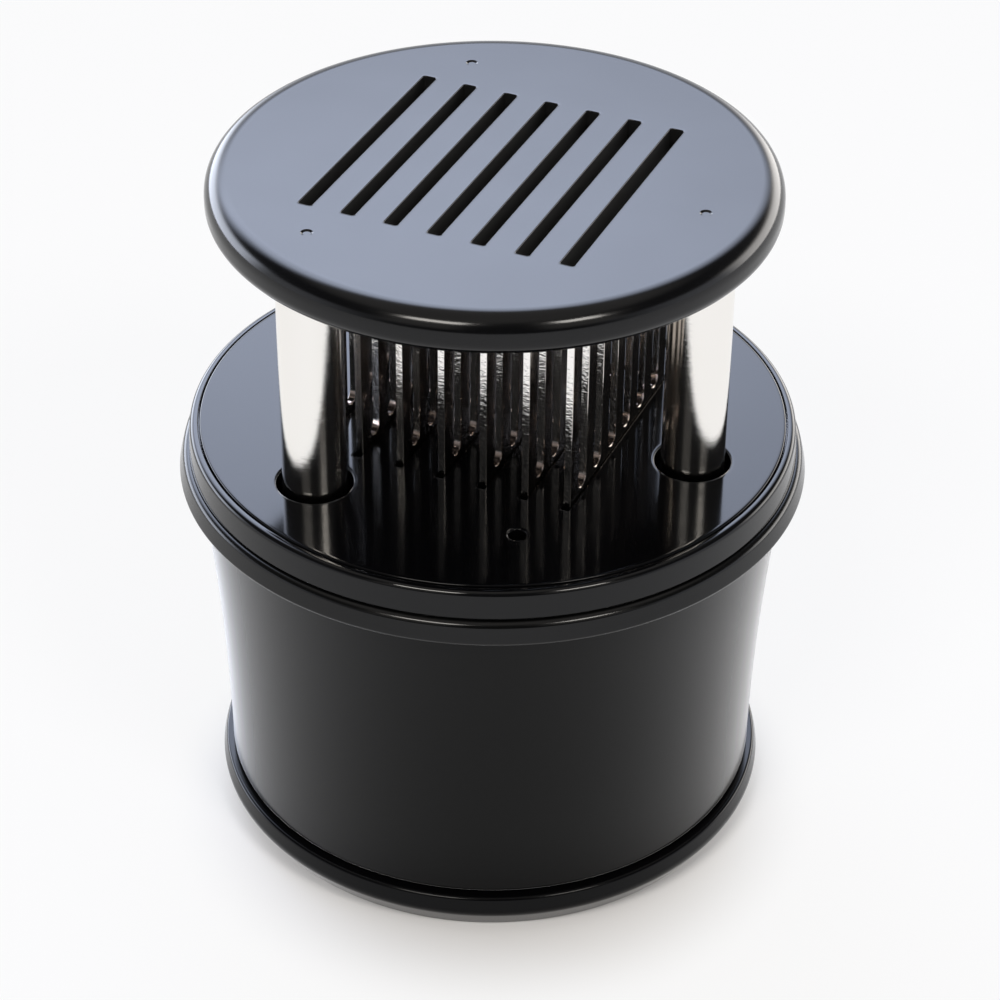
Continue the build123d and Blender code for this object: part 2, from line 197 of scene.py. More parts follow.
@dataclass(frozen=True)
class Plastic(Finish):
    """Plastic: its mould or tool gives the gloss and the grain, the melt's flow a faint swell.

    The facing share is what is left of the gloss where the surface faces the eye. The film is the
    haze of fine scuffs that lightens slanting walls. Cores leave upright walls within their reach
    of the axis matt. Above the buffed height, a share and a film of their own hold.
    """

    roughness: float
    grain_mm: float
    grain_depth_mm: float
    swell_mm: float = 16.0
    swell_depth_mm: float = 0.0
    dust: float = 0.0
    facing_share: float = 1.0
    film: float = 0.0
    core_reach_mm: float = 0.0
    buffed_share: float = 0.0
    buffed_film: float = 0.0
    buffed_from_mm: float = 0.0
    buffed_fade_mm: float = 0.5
    ior: float = 1.5
    clearest: float = 0.94
    haziest: float = 1.06
    film_roughness: float = 0.25
    upright_below: float = 0.4
    core_roughness: float = 0.9
    speck_pitch_mm: float = 2.6
    speck_radius: float = 0.045
    speck_colour: str = "#b9bab8"

    def shade(self, tree: NodeTree) -> Node:
        """Lay the gloss over swell and grain.

        Args:
            tree: the material's nodes.

        Returns:
            The shader.
        """
        place = add_node(tree, "TexCoord").outputs["Object"]
        swell = add_node(tree, "TexNoise", {
            "Vector": place, "Scale": per_metre(self.swell_mm), "Detail": 1.0, "Roughness": 0.4})
        grain = add_node(tree, "TexNoise", {
            "Vector": place, "Scale": per_metre(self.grain_mm), "Detail": 2.0, "Roughness": 0.6})
        wave = add_node(tree, "Bump", {"Height": swell, "Distance": mm(self.swell_depth_mm)})
        skin = add_node(tree, "Bump", {"Height": grain, "Distance": mm(self.grain_depth_mm), "Normal": wave})
        haze = add_node(tree, "MapRange", {
            "Value": swell, "From Min": NOISE_LOW, "From Max": NOISE_HIGH,
            "To Min": self.roughness * self.clearest, "To Max": self.roughness * self.haziest}, clamp=False)
        if self.core_reach_mm > 0.0:
            haze = self.matt_walls(tree, place, haze)
        shader = add_node(tree, "BsdfPrincipled", {
            "Base Color": self.dusted(tree, place) if self.dust > 0.0 else linear(self.colour),
            "Roughness": haze, "IOR": self.ior, "Specular Tint": (*[self.facing_share] * 3, 1.0),
            "Sheen Weight": self.film, "Sheen Roughness": self.film_roughness, "Normal": skin})
        if self.buffed_from_mm > 0.0:
            self.buff(tree, place, shader)
        return shader

    def matt_walls(self, tree: NodeTree, place: NodeSocket, haze: Node) -> Node:
        """Raise the roughness where eroded cores left the upright walls of the slots matt.

        Args:
            tree: the material's nodes.
            place: the place on the piece.
            haze: the roughness elsewhere.

        Returns:
            The roughness.
        """
        facing = add_node(tree, "NewGeometry").outputs["True Normal"]
        tilt = add_node(tree, "SeparateXYZ", {0: facing}).outputs["Z"]
        slope = add_node(tree, "Math", {0: tilt}, operation="ABSOLUTE")
        upright = add_node(tree, "Math", {0: slope, 1: self.upright_below}, operation="LESS_THAN")
        level = add_node(tree, "VectorMath", {0: place, 1: (1.0, 1.0, 0.0)}, operation="MULTIPLY")
        reach = add_node(tree, "VectorMath", {0: level}, operation="LENGTH")
        near = add_node(tree, "Math", {0: reach, 1: mm(self.core_reach_mm)}, operation="LESS_THAN")
        wall = add_node(tree, "Math", {0: upright, 1: near}, operation="MULTIPLY")
        return add_node(tree, "Mix", {"Factor": wall, "A": haze, "B": self.core_roughness}, data_type="FLOAT")

    def dusted(self, tree: NodeTree, place: NodeSocket) -> Node:
        """Strew a few specks of lint on the pigment's colour.

        Args:
            tree: the material's nodes.
            place: the place on the piece.

        Returns:
            The colour.
        """
        specks = add_node(tree, "TexVoronoi", {"Vector": place, "Scale": per_metre(self.speck_pitch_mm)})
        chosen = add_node(tree, "Math", {0: specks.outputs["Color"], 1: 1.0 - self.dust},
                          operation="GREATER_THAN")
        near = add_node(tree, "Math", {0: specks.outputs["Distance"], 1: self.speck_radius},
                        operation="LESS_THAN")
        speck = add_node(tree, "Math", {0: chosen, 1: near}, operation="MULTIPLY")
        return add_node(tree, "Mix", {
            "Factor": speck, "A": linear(self.colour), "B": linear(self.speck_colour)}, data_type="RGBA")

    def buff(self, tree: NodeTree, place: NodeSocket, shader: Node) -> None:
        """Raise the facing gloss and thin the film above a height, where the mould was buffed brighter.

        Args:
            tree: the material's nodes.
            place: the place on the piece.
            shader: the shader to change.
        """
        height = add_node(tree, "SeparateXYZ", {0: place}).outputs["Z"]
        for name, below, above in (("Specular Tint", self.facing_share, self.buffed_share),
                                   ("Sheen Weight", self.film, self.buffed_film)):
            level = add_node(tree, "MapRange", {
                "Value": height, "From Min": mm(self.buffed_from_mm),
                "From Max": mm(self.buffed_from_mm + self.buffed_fade_mm), "To Min": below, "To Max": above})
            tree.links.new(level.outputs[0], shader.inputs[name])


@dataclass(frozen=True)
class PolishedTube(Finish):
    """Steel tube polished while it turns: a mirror that fine rings smear up and down, with tiny pits.

    The rings are drawn as coarse as they need to show.
    """

    roughness: float
    ring_mm: float
    ring_relief_mm: float
    pit_mm: float
    pit_relief_mm: float
    ring_stretch: Corner = (0.04, 0.04, 1.0)
    clearest: float = 0.8
    haziest: float = 1.3

    def shade(self, tree: NodeTree) -> Node:
        """Lay pits over the polishing rings.

        Args:
            tree: the material's nodes.

        Returns:
            The shader.
        """
        place = add_node(tree, "TexCoord").outputs["Object"]
        stretch = add_node(tree, "VectorMath", {0: place, 1: self.ring_stretch}, operation="MULTIPLY")
        rings = add_node(tree, "TexNoise", {
            "Vector": stretch, "Scale": per_metre(self.ring_mm), "Detail": 2.0})
        pits = add_node(tree, "TexNoise", {
            "Vector": place, "Scale": per_metre(self.pit_mm), "Detail": 3.0, "Roughness": 0.7})
        relief = add_node(tree, "Bump", {"Height": rings, "Distance": mm(self.ring_relief_mm)})
        skin = add_node(tree, "Bump", {"Height": pits, "Distance": mm(self.pit_relief_mm), "Normal": relief})
        rough = add_node(tree, "MapRange", {
            "Value": pits, "From Min": NOISE_LOW, "From Max": NOISE_HIGH,
            "To Min": self.roughness * self.clearest, "To Max": self.roughness * self.haziest})
        return add_node(tree, "BsdfPrincipled", {
            "Base Color": linear(self.colour), "Metallic": 1.0, "Roughness": rough, "Normal": skin})


@dataclass(frozen=True)
class StampedSheet(Finish):
    """Stamped stainless sheet: rolled broad faces, sheared edges torn into bright specks, and darker roots.

    Rolling lines run along the teeth. The root's top is the height below which the gaps are round. The roots'
    darker colour is painted shade, which dims the glints low in the gaps.
    """

    edge_colour: str
    # The roots' colour is painted shade, darker than the sheared edges.
    root_shade_colour: str
    face_roughness: float
    edge_roughness: float
    rolling_mm: float
    tear_mm: float
    face_relief_mm: float
    edge_relief_mm: float
    root_top_mm: float
    root_fade_mm: float = 2.0
    rolling_stretch: Corner = (1.0, 1.0, 0.06)
    tear_stretch: Corner = (0.6, 0.6, 1.0)
    face_above: float = 0.9
    edge_below: float = 0.5
    root_tilts: Point2 = (0.05, 0.30)

    def shade(self, tree: NodeTree) -> Node:
        """Roll the faces and tear the edges.

        Args:
            tree: the material's nodes.

        Returns:
            The shader.
        """
        place = add_node(tree, "TexCoord").outputs["Object"]
        edge, root = self.sheared(tree), self.rooted(tree, place)
        along = add_node(tree, "VectorMath", {0: place, 1: self.rolling_stretch}, operation="MULTIPLY")
        rolled = add_node(tree, "TexNoise", {
            "Vector": along, "Scale": per_metre(self.rolling_mm), "Detail": 3.0})
        flat = add_node(tree, "VectorMath", {0: place, 1: self.tear_stretch}, operation="MULTIPLY")
        torn = add_node(tree, "TexNoise", {
            "Vector": flat, "Scale": per_metre(self.tear_mm), "Detail": 2.0, "Roughness": 0.6})
        height = add_node(tree, "Mix", {"Factor": edge, "A": rolled, "B": torn}, data_type="FLOAT")
        unrooted = add_node(tree, "Math", {0: 1.0, 1: root}, operation="SUBTRACT")
        tearing = add_node(tree, "Math", {0: edge, 1: unrooted}, operation="MULTIPLY")
        depth = add_node(tree, "MapRange", {
            "Value": tearing, "To Min": mm(self.face_relief_mm), "To Max": mm(self.edge_relief_mm)})
        skin = add_node(tree, "Bump", {"Height": height, "Distance": depth})
        rough = add_node(tree, "MapRange", {
            "Value": edge, "To Min": self.face_roughness, "To Max": self.edge_roughness})
        # Painted shade: the roots of the gaps take a darker colour than the sheared edges, which dims their
        # glints.
        sheared = add_node(tree, "Mix", {
            "Factor": root, "A": linear(self.edge_colour), "B": linear(self.root_shade_colour)}, data_type="RGBA")
        colour = add_node(tree, "Mix", {"Factor": edge, "A": linear(self.colour), "B": sheared},
                          data_type="RGBA")
        return add_node(tree, "BsdfPrincipled", {
            "Base Color": colour, "Metallic": 1.0, "Roughness": rough, "Normal": skin})

    def sheared(self, tree: NodeTree) -> Node:
        """Tell the sheared edges from the broad faces, which look along X.

        Args:
            tree: the material's nodes.

        Returns:
            One on the edges and zero on the faces.
        """
        facing = add_node(tree, "NewGeometry").outputs["True Normal"]
        across = add_node(tree, "SeparateXYZ", {0: facing}).outputs["X"]
        side = add_node(tree, "Math", {0: across}, operation="ABSOLUTE")
        return add_node(tree, "MapRange", {
            "Value": side, "From Min": self.face_above, "From Max": self.edge_below})

    def rooted(self, tree: NodeTree, place: NodeSocket) -> Node:
        """Find the round roots of the gaps, where the punch left the edge smooth and where shade is painted.

        Args:
            tree: the material's nodes.
            place: the place on the piece.

        Returns:
            One in the roots and zero elsewhere.
        """
        height = add_node(tree, "SeparateXYZ", {0: place}).outputs["Z"]
        low = add_node(tree, "MapRange", {
            "Value": height, "From Min": mm(self.root_top_mm + self.root_fade_mm),
            "From Max": mm(self.root_top_mm)})
        facing = add_node(tree, "NewGeometry").outputs["True Normal"]
        tilt = add_node(tree, "SeparateXYZ", {0: facing}).outputs["Z"]
        least, full = self.root_tilts
        upward = add_node(tree, "MapRange", {"Value": tilt, "From Min": least, "From Max": full})
        return add_node(tree, "Math", {0: low, 1: upward}, operation="MULTIPLY")


@dataclass(frozen=True)
class PlainMetal(Finish):
    """Turned or drawn stainless steel: even and slightly dull, with a fine tool grain."""

    roughness: float
    grain_mm: float
    relief_mm: float
    clearest: float = 0.85
    haziest: float = 1.15

    def shade(self, tree: NodeTree) -> Node:
        """Raise the tool grain.

        Args:
            tree: the material's nodes.

        Returns:
            The shader.
        """
        place = add_node(tree, "TexCoord").outputs["Object"]
        grain = add_node(tree, "TexNoise", {
            "Vector": place, "Scale": per_metre(self.grain_mm), "Detail": 3.0})
        skin = add_node(tree, "Bump", {"Height": grain, "Distance": mm(self.relief_mm)})
        rough = add_node(tree, "MapRange", {
            "Value": grain, "From Min": NOISE_LOW, "From Max": NOISE_HIGH,
            "To Min": self.roughness * self.clearest, "To Max": self.roughness * self.haziest})
        return add_node(tree, "BsdfPrincipled", {
            "Base Color": linear(self.colour), "Metallic": 1.0, "Roughness": rough, "Normal": skin})


@dataclass(frozen=True)
class PaperSweep(Finish):
    """Matt white studio paper. It keeps the tool's shadow, and goes to white away from it where it is seen.

    The shade leans to the side that faces an azimuth, in degrees. The white is painted light, a glow for the
    rays that show the paper, and it starts further out on that side. The shadow it leaves near the tool is
    real.
    """

    whitening: float
    facing: float = 0.0
    white: str = "#fcfcfc"
    fibre_roughness: float = 0.5
    shade_reach: float = mm(34.0)
    white_reach: float = mm(56.0)
    shade_shift: float = mm(10.0)

    def shade(self, tree: NodeTree) -> Node:
        """Whiten the paper away from the tool, for rays that show it and not for those that light others.

        Args:
            tree: the material's nodes.

        Returns:
            The shader.
        """
        paper = add_node(tree, "BsdfDiffuse", {
            "Color": linear(self.colour), "Roughness": self.fibre_roughness})
        # Painted light: a white glow that hides the paper's shading away from the tool, and starts further
        # out towards the camera.
        white = add_node(tree, "Emission", {"Color": linear(self.white), "Strength": 1.0})
        place = add_node(tree, "NewGeometry").outputs["Position"]
        turn = math.radians(self.facing)
        middle = (math.sin(turn) * self.shade_shift, -math.cos(turn) * self.shade_shift, 0.0)
        reach = add_node(tree, "VectorMath", {0: place, 1: middle}, operation="DISTANCE")
        clear = add_node(tree, "MapRange", {
            "Value": reach, "From Min": self.shade_reach, "From Max": self.white_reach,
            "To Max": self.whitening}, interpolation_type="SMOOTHSTEP")
        ray = add_node(tree, "LightPath").outputs
        direct = add_node(tree, "Math", {0: ray["Is Camera Ray"], 1: ray["Is Glossy Ray"]},
                          operation="MAXIMUM")
        seen = add_node(tree, "Math", {0: direct, 1: ray["Is Transmission Ray"]}, operation="MAXIMUM")
        share = add_node(tree, "Math", {0: seen, 1: clear}, operation="MULTIPLY")
        return add_node(tree, "MixShader", {0: share, 1: paper, 2: white})


FINISHES: dict[Slot, Finish] = {
    # Satin black: the disc shows the window as a soft blue-grey, and its slots stay dark.
    Slot.GUARD_PLASTIC: Plastic(
        "guard_moulded_abs", "#040405", roughness=0.15, grain_mm=0.24, grain_depth_mm=0.0010,
        swell_mm=13.0, swell_depth_mm=0.016, facing_share=0.60, film=0.05, core_reach_mm=36.0),
    # Polished black: the deck mirrors the columns and the combs.
    Slot.DECK_PLASTIC: Plastic(
        "deck_polished_abs", "#030304", roughness=0.10, grain_mm=0.25, grain_depth_mm=0.0005,
        swell_depth_mm=0.020, facing_share=0.28),
    # The glossiest black: thin bright lines along its edges, and a little lint.
    Slot.COLLAR_PLASTIC: Plastic(
        "collar_moulded_abs", "#040405", roughness=0.07, grain_mm=0.25, grain_depth_mm=0.0008,
        swell_depth_mm=0.008, dust=0.02, facing_share=0.57, film=0.10),
    # Scuffed dull on the wall that the hand holds, and still bright on the flange.
    Slot.SHELL_PLASTIC: Plastic(
        "shell_moulded_abs", "#040404", roughness=0.15, grain_mm=0.25, grain_depth_mm=0.0012,
        swell_mm=20.0, swell_depth_mm=0.012, dust=0.008, facing_share=0.17, film=0.85,
        buffed_share=0.57, buffed_film=0.10, buffed_from_mm=62.0),
    # Soft black gloss, a little scuffed where the palm rests.
    Slot.CAP_PLASTIC: Plastic(
        "cap_moulded_abs", "#040405", roughness=0.14, grain_mm=0.25, grain_depth_mm=0.0012,
        swell_depth_mm=0.010, facing_share=0.25, film=0.20),
    # Matt black, as it leaves an eroded mould.
    Slot.INNER_PLASTIC: Plastic(
        "inner_moulded_abs", "#101011", roughness=0.42, grain_mm=0.30, grain_depth_mm=0.0030),
    # Waxy off-white.
    Slot.BUSH_ACETAL: Plastic(
        "turned_acetal", "#dcd9cf", roughness=0.38, grain_mm=0.30, grain_depth_mm=0.0020),
    # Grey mirrors with bright torn edges, and painted shade on the roots of the gaps.
    Slot.BLADE_STEEL: StampedSheet(
        "stamped_stainless", "#aea59c", edge_colour="#f8f5f1", root_shade_colour="#a3948c", face_roughness=0.13,
        edge_roughness=0.12, rolling_mm=0.35, tear_mm=0.48, face_relief_mm=0.003, edge_relief_mm=0.050,
        root_top_mm=73.6),
    # A bright mirror, streaked upright.
    Slot.COLUMN_STEEL: PolishedTube(
        "polished_stainless", "#f4f1ec", roughness=0.12, ring_mm=0.14, ring_relief_mm=0.010,
        pit_mm=0.22, pit_relief_mm=0.0022),
    # Even grey wire.
    Slot.SPRING_STEEL: PlainMetal(
        "drawn_spring_wire", "#a9a8a5", roughness=0.28, grain_mm=0.4, relief_mm=0.002),
    # Even grey turned faces.
    Slot.FASTENER_STEEL: PlainMetal(
        "turned_stainless", "#b4b3b0", roughness=0.30, grain_mm=0.3, relief_mm=0.002),
}


@cache
def finish_of(slot: Slot) -> Material:
    """Return the material of a slot, built once."""
    return FINISHES[slot].build()


# Mesh work

ROUND_STEPS = 8
EDGE_STEPS = 3
SLOT_CORNER_STEPS = 4
TURN_STEPS = 224
CDT_REACH = 1e-6
LEAST_SPREAD = 0.4
FLAT_BAND = mm(0.3)


@dataclass(frozen=True)
class Span:
    """The room that a CAD node takes, which the dressed piece keeps to."""

    low: Vector
    high: Vector

    @classmethod
    def of(cls, node: str) -> "Span":
        """Return the room of a node at rest."""
        return cls(*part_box(node))

    @property
    def bottom(self) -> float:
        """Return the lowest height."""
        return self.low.z

    @property
    def top(self) -> float:
        """Return the highest height."""
        return self.high.z

    @property
    def radius(self) -> float:
        """Return half the lesser width."""
        return min(self.high.x - self.low.x, self.high.y - self.low.y) / 2

    @property
    def axis(self) -> Point2:
        """Return where the upright axis stands."""
        return (self.low.x + self.high.x) / 2, (self.low.y + self.high.y) / 2


def rounded_outline(corners: Sequence[Corner], steps: int = ROUND_STEPS) -> list[Point2]:
    """Round the corners of a closed outline.

    Args:
        corners: two coordinates and a radius for each corner; a radius of zero keeps it sharp.
        steps: divisions of each rounded corner.

    Returns:
        The points of the outline in order.
    """
    points: list[Point2] = []
    for index, (x, y, radius) in enumerate(corners):
        here = Vector((x, y))
        if radius <= 0.0:
            points.append((x, y))
            continue
        back = (Vector(corners[index - 1][:2]) - here).normalized()
        ahead = (Vector(corners[(index + 1) % len(corners)][:2]) - here).normalized()
        half = back.angle(ahead) / 2
        centre = here + (back + ahead).normalized() * (radius / math.sin(half))
        first = here + back * (radius / math.tan(half)) - centre
        last = here + ahead * (radius / math.tan(half)) - centre
        start = math.atan2(first.y, first.x)
        sweep = (math.atan2(last.y, last.x) - start + math.pi) % (2 * math.pi) - math.pi
        for step in range(steps + 1):
            turn = start + sweep * step / steps
            points.append((centre.x + radius * math.cos(turn), centre.y + radius * math.sin(turn)))
    return points


def circle_loop(radius: float, height: float, centre: Point2 = (0.0, 0.0), steps: int = TURN_STEPS) -> Loop:
    """Draw a level circle.

    Args:
        radius: its radius.
        height: the height that it lies at.
        centre: where its middle stands.
        steps: how many points it has.

    Returns:
        Its points in order.
    """
    turns = [2 * math.pi * step / steps for step in range(steps)]
    return [Vector((centre[0] + radius * math.cos(t), centre[1] + radius * math.sin(t), height))
            for t in turns]


def slot_loop(width: float, length: float, radius: float, height: float, x: float) -> Loop:
    """Draw a level rounded rectangle, long along Y.

    Args:
        width: its size along X.
        length: its size along Y.
        radius: how far its corners are rounded.
        height: the height that it lies at.
        x: where its middle stands along X.

    Returns:
        Its points in order.
    """
    half_width, half_length = width / 2, length / 2
    outline = rounded_outline([
        (half_width, -half_length, radius), (half_width, half_length, radius),
        (-half_width, half_length, radius), (-half_width, -half_length, radius)], SLOT_CORNER_STEPS)
    return [Vector((x + px, py, height)) for px, py in outline]


def edge_rows(size: float) -> list[Point2]:
    """Round an edge over from a level face.

    Args:
        size: the radius of the edge.

    Returns:
        (outward offset, drop) pairs. The first lies in the face: a flat band there keeps the
        round edge's shading off the wide face.
    """
    turns = [math.pi / 2 * step / EDGE_STEPS for step in range(EDGE_STEPS + 1)]
    return [(size + FLAT_BAND, 0.0), *((size * (1 - math.sin(t)), size * (1 - math.cos(t))) for t in turns)]


def inset(outline: Sequence[Vector], distance: float) -> list[Vector]:
    """Draw a closed outline in.

    Args:
        outline: the flat points in order.
        distance: how far each side moves in.

    Returns:
        The smaller outline, point for point.
    """
    area = sum(a.x * b.y - b.x * a.y for a, b in zip(outline, [*outline[1:], outline[0]]))
    turn = 1.0 if area > 0 else -1.0
    drawn = []
    for index, here in enumerate(outline):
        back = (here - outline[index - 1]).normalized()
        ahead = (outline[(index + 1) % len(outline)] - here).normalized()
        normal = Vector((-back.y - ahead.y, back.x + ahead.x)).normalized() * turn
        spread = normal.dot(Vector((-back.y, back.x)) * turn)
        drawn.append(here + normal * (distance / max(spread, LEAST_SPREAD)))
    return drawn


def inside(point: Vector, outline: Sequence[Vector]) -> bool:
    """Tell whether a point lies in a closed outline.

    Args:
        point: the flat point.
        outline: the flat points of the outline in order.

    Returns:
        Whether it lies inside.
    """
    found = False
    for index, here in enumerate(outline):
        back = outline[index - 1]
        if (here.y > point.y) != (back.y > point.y):
            crossing = here.x + (point.y - here.y) / (back.y - here.y) * (back.x - here.x)
            if point.x < crossing:
                found = not found
    return found


@dataclass
class Hole:
    """A hole or recess in a plate: rings of points from the top face down.

    A through hole's last ring lies in the bottom face; a recess is closed at its last ring.
    """

    rings: list[Loop]
    through: bool = True


class MeshMaker:
    """Collects rings and faces of one piece, then makes its object."""

    def __init__(self, name: str) -> None:
        """Start an empty piece."""
        self.name = name
        self.mesh = bmesh.new()

    def ring(self, points: Iterable[Vector]) -> Ring:
        """Add the points of one ring."""
        return [self.mesh.verts.new(point) for point in points]

    def skin(self, rings: Sequence[Ring]) -> None:
        """Join rings of equal length, each to the next, by bands of faces.

        Args:
            rings: the rings in order.
        """
        for first, second in zip(rings, rings[1:]):
            for index in range(len(first)):
                after = (index + 1) % len(first)
                self.mesh.faces.new((first[index], first[after], second[after], second[index]))

    def fill(self, rings: Sequence[Ring], outlines: Sequence[Sequence[Vector]]) -> None:
        """Fill a flat ring with triangles, leaving the rings of its holes open.

        Args:
            rings: the outer ring, then those of the holes.
            outlines: the same rings as flat points.
        """
        verts = [vert for ring in rings for vert in ring]
        drawn = [[point * MM_PER_METRE for point in outline] for outline in outlines]
        edges: list[tuple[int, int]] = []
        for ring in rings:
            start, count = len(edges), len(ring)
            edges += [(start + index, start + (index + 1) % count) for index in range(count)]
        made = delaunay_2d_cdt([point for outline in drawn for point in outline], edges, [], 1, CDT_REACH)
        for face in made[2]:
            middle = sum((made[0][index] for index in face), Vector((0.0, 0.0))) / len(face)
            if inside(middle, drawn[0]) and not any(inside(middle, hole) for hole in drawn[1:]):
                self.mesh.faces.new([verts[made[3][index][0]] for index in face])

    def sheet(self, outer: Ring, inner: Sequence[Ring] = ()) -> None:
        """Fill a flat ring, which has to lie level where there are holes in it.

        Args:
            outer: the ring to fill.
            inner: the rings of the holes.
        """
        if inner:
            rings = [outer, *inner]
            self.fill(rings, [[vert.co.xy for vert in ring] for ring in rings])
        else:
            self.mesh.faces.new(outer)

    def turn(self, outline: Sequence[Point2], centre: Point2 = (0.0, 0.0), closed: bool = True,
             steps: int = TURN_STEPS) -> None:
        """Add a solid turned about an upright axis.

        Args:
            outline: (radius, height) points.
            centre: where the axis stands.
            closed: whether the outline closes on itself; else its ends are filled with discs.
            steps: divisions of the turn.
        """
        rings = [self.ring(circle_loop(radius, height, centre, steps)) for radius, height in outline]
        self.skin([*rings, rings[0]] if closed else rings)
        if not closed:
            self.sheet(rings[0])
            self.sheet(rings[-1])

    def plate(self, rim: Sequence[Point2], holes: Sequence[Hole]) -> None:
        """Add a round plate with holes.

        Args:
            rim: (radius, height) points from the edge of the top face to the edge of the bottom face.
            holes: what is cut in it.
        """
        rings = [self.ring(circle_loop(radius, height)) for radius, height in rim]
        self.skin(rings)
        tops, bottoms = [], []
        for hole in holes:
            walls = [self.ring(points) for points in hole.rings]
            self.skin(walls)
            tops.append(walls[0])
            if hole.through:
                bottoms.append(walls[-1])
            else:
                self.sheet(walls[-1])
        self.sheet(rings[0], tops)
        self.sheet(rings[-1], bottoms)

    def finish(self, body: Body, slot: Slot, nodes: Sequence[str], sharp_degrees: float = 32.0) -> Object:
        """Make the object, dress it and hang it on its body.

        Args:
            body: the body that it moves with.
            slot: the record's material slot.
            nodes: the CAD nodes that it stands for.
            sharp_degrees: edges sharper than this stay crisp.

        Returns:
            The finished object.
        """
        bmesh.ops.recalc_face_normals(self.mesh, faces=self.mesh.faces)
        data = bpy.data.meshes.new(self.name)
        self.mesh.to_mesh(data)
        self.mesh.free()
        data.shade_smooth()
        data.set_sharp_from_angle(angle=math.radians(sharp_degrees))
        piece = add_object(self.name, data)
        piece.modifiers.new("even_shading", "WEIGHTED_NORMAL").keep_sharp = True
        data.materials.append(finish_of(slot))
        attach(piece, body.value)
        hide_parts(*nodes)
        LOG.info("%s: %d faces, on %s", self.name, len(data.polygons), body.value)
        return piece


# The tool's sub-assemblies


@dataclass
class BladeField:
    """The stamped combs, and the places where deck and guard are slotted for them."""

    tooth_pitch: float = mm(6.1)
    tooth_width: float = mm(3.0)
    teeth: int = 7
    root_above_deck: float = mm(1.2)
    point_length: float = mm(3.2)
    point_flat: float = mm(0.6)
    point_edge: float = mm(0.3)
    edge_break: float = mm(0.09)
    root_steps: int = 14
    spans: list[Span] = field(default_factory=lambda: [Span.of(f"blade_comb_{n}") for n in COMBS])

    @property
    def rows(self) -> list[float]:
        """Return where each row stands along X."""
        return [span.axis[0] for span in self.spans]

    @property
    def thickness(self) -> float:
        """Return the thickness of the sheet."""
        return self.spans[0].high.x - self.spans[0].low.x

    @property
    def length(self) -> float:
        """Return the length of a row."""
        return self.spans[0].high.y - self.spans[0].low.y

    def outline(self, deck_top: float) -> list[Vector]:
        """Draw a comb from the foot round the teeth.

        Args:
            deck_top: height of the deck's face.

        Returns:
            The outline as (y, z) points.
        """
        span = self.spans[0]
        half = self.length / 2
        gap_radius = (self.tooth_pitch - self.tooth_width) / 2
        root_centre = deck_top + self.root_above_deck + gap_radius
        points = [Vector((half, span.bottom))]
        for tooth in reversed(range(self.teeth)):
            middle = (tooth - (self.teeth - 1) / 2) * self.tooth_pitch
            for y, z in ((self.tooth_width / 2, -self.point_length), (self.point_flat / 2, 0.0),
                         (-self.point_flat / 2, 0.0), (-self.tooth_width / 2, -self.point_length)):
                points.append(Vector((middle + y, span.top + z)))
            if tooth:
                gap = middle - self.tooth_pitch / 2
                for step in range(self.root_steps + 1):
                    turn = math.pi * step / self.root_steps
                    points.append(Vector((gap + gap_radius * math.cos(turn),
                                          root_centre - gap_radius * math.sin(turn))))
        points.append(Vector((-half, span.bottom)))
        return points

    def ground(self, point: Vector, side: float, span: Span) -> Vector:
        """Put a point of the outline in place, drawn in towards the cutting edge near the tips.

        Args:
            point: the (y, z) point.
            side: how far it lies from the sheet's middle below the tips.
            span: the room of the comb.

        Returns:
            The point in the tool.
        """
        above = point.y - (span.top - self.point_length)
        share = min(max(above / self.point_length, 0.0), 1.0)
        keep = 1.0 - share * (1.0 - self.point_edge / self.thickness)
        return Vector((span.axis[0] + side * keep, point.x, point.y))

    def build(self, deck_top: float) -> None:
        """Make every comb.

        Args:
            deck_top: height of the deck's face.
        """
        outline = self.outline(deck_top)
        eased = inset(outline, self.edge_break)
        half = self.thickness / 2
        for number, span in zip(COMBS, self.spans):
            maker = MeshMaker(f"stamped_comb_{number}")
            rings = [maker.ring(self.ground(point, side, span) for point in points)
                     for side, points in ((-half, eased), (-half + self.edge_break, outline),
                                          (half - self.edge_break, outline), (half, eased))]
            maker.skin(rings)
            maker.fill([rings[0]], [eased])
            maker.fill([rings[-1]], [eased])
            maker.finish(Body.HANDLE, Slot.BLADE_STEEL, [f"blade_comb_{number}"], sharp_degrees=40.0)


@dataclass
class ColumnSet:
    """The polished guide columns."""

    wall: float = mm(0.8)
    edge_break: float = mm(0.2)
    steps: int = 96
    spans: list[Span] = field(default_factory=lambda: [Span.of(f"guide_column_{n}") for n in COLUMNS])

    @property
    def centres(self) -> list[Point2]:
        """Return where the columns stand."""
        return [span.axis for span in self.spans]

    @property
    def radius(self) -> float:
        """Return a column's outer radius."""
        return self.spans[0].radius

    def build(self) -> None:
        """Make the columns."""
        for number, span in zip(COLUMNS, self.spans):
            maker = MeshMaker(f"polished_column_{number}")
            outer, bore = span.radius, span.radius - self.wall
            maker.turn(rounded_outline([
                (bore, span.bottom, 0.0), (outer, span.bottom, self.edge_break),
                (outer, span.top, self.edge_break), (bore, span.top, 0.0)], EDGE_STEPS), span.axis,
                steps=self.steps)
            maker.finish(Body.GUARD, Slot.COLUMN_STEEL, [f"guide_column_{number}"])


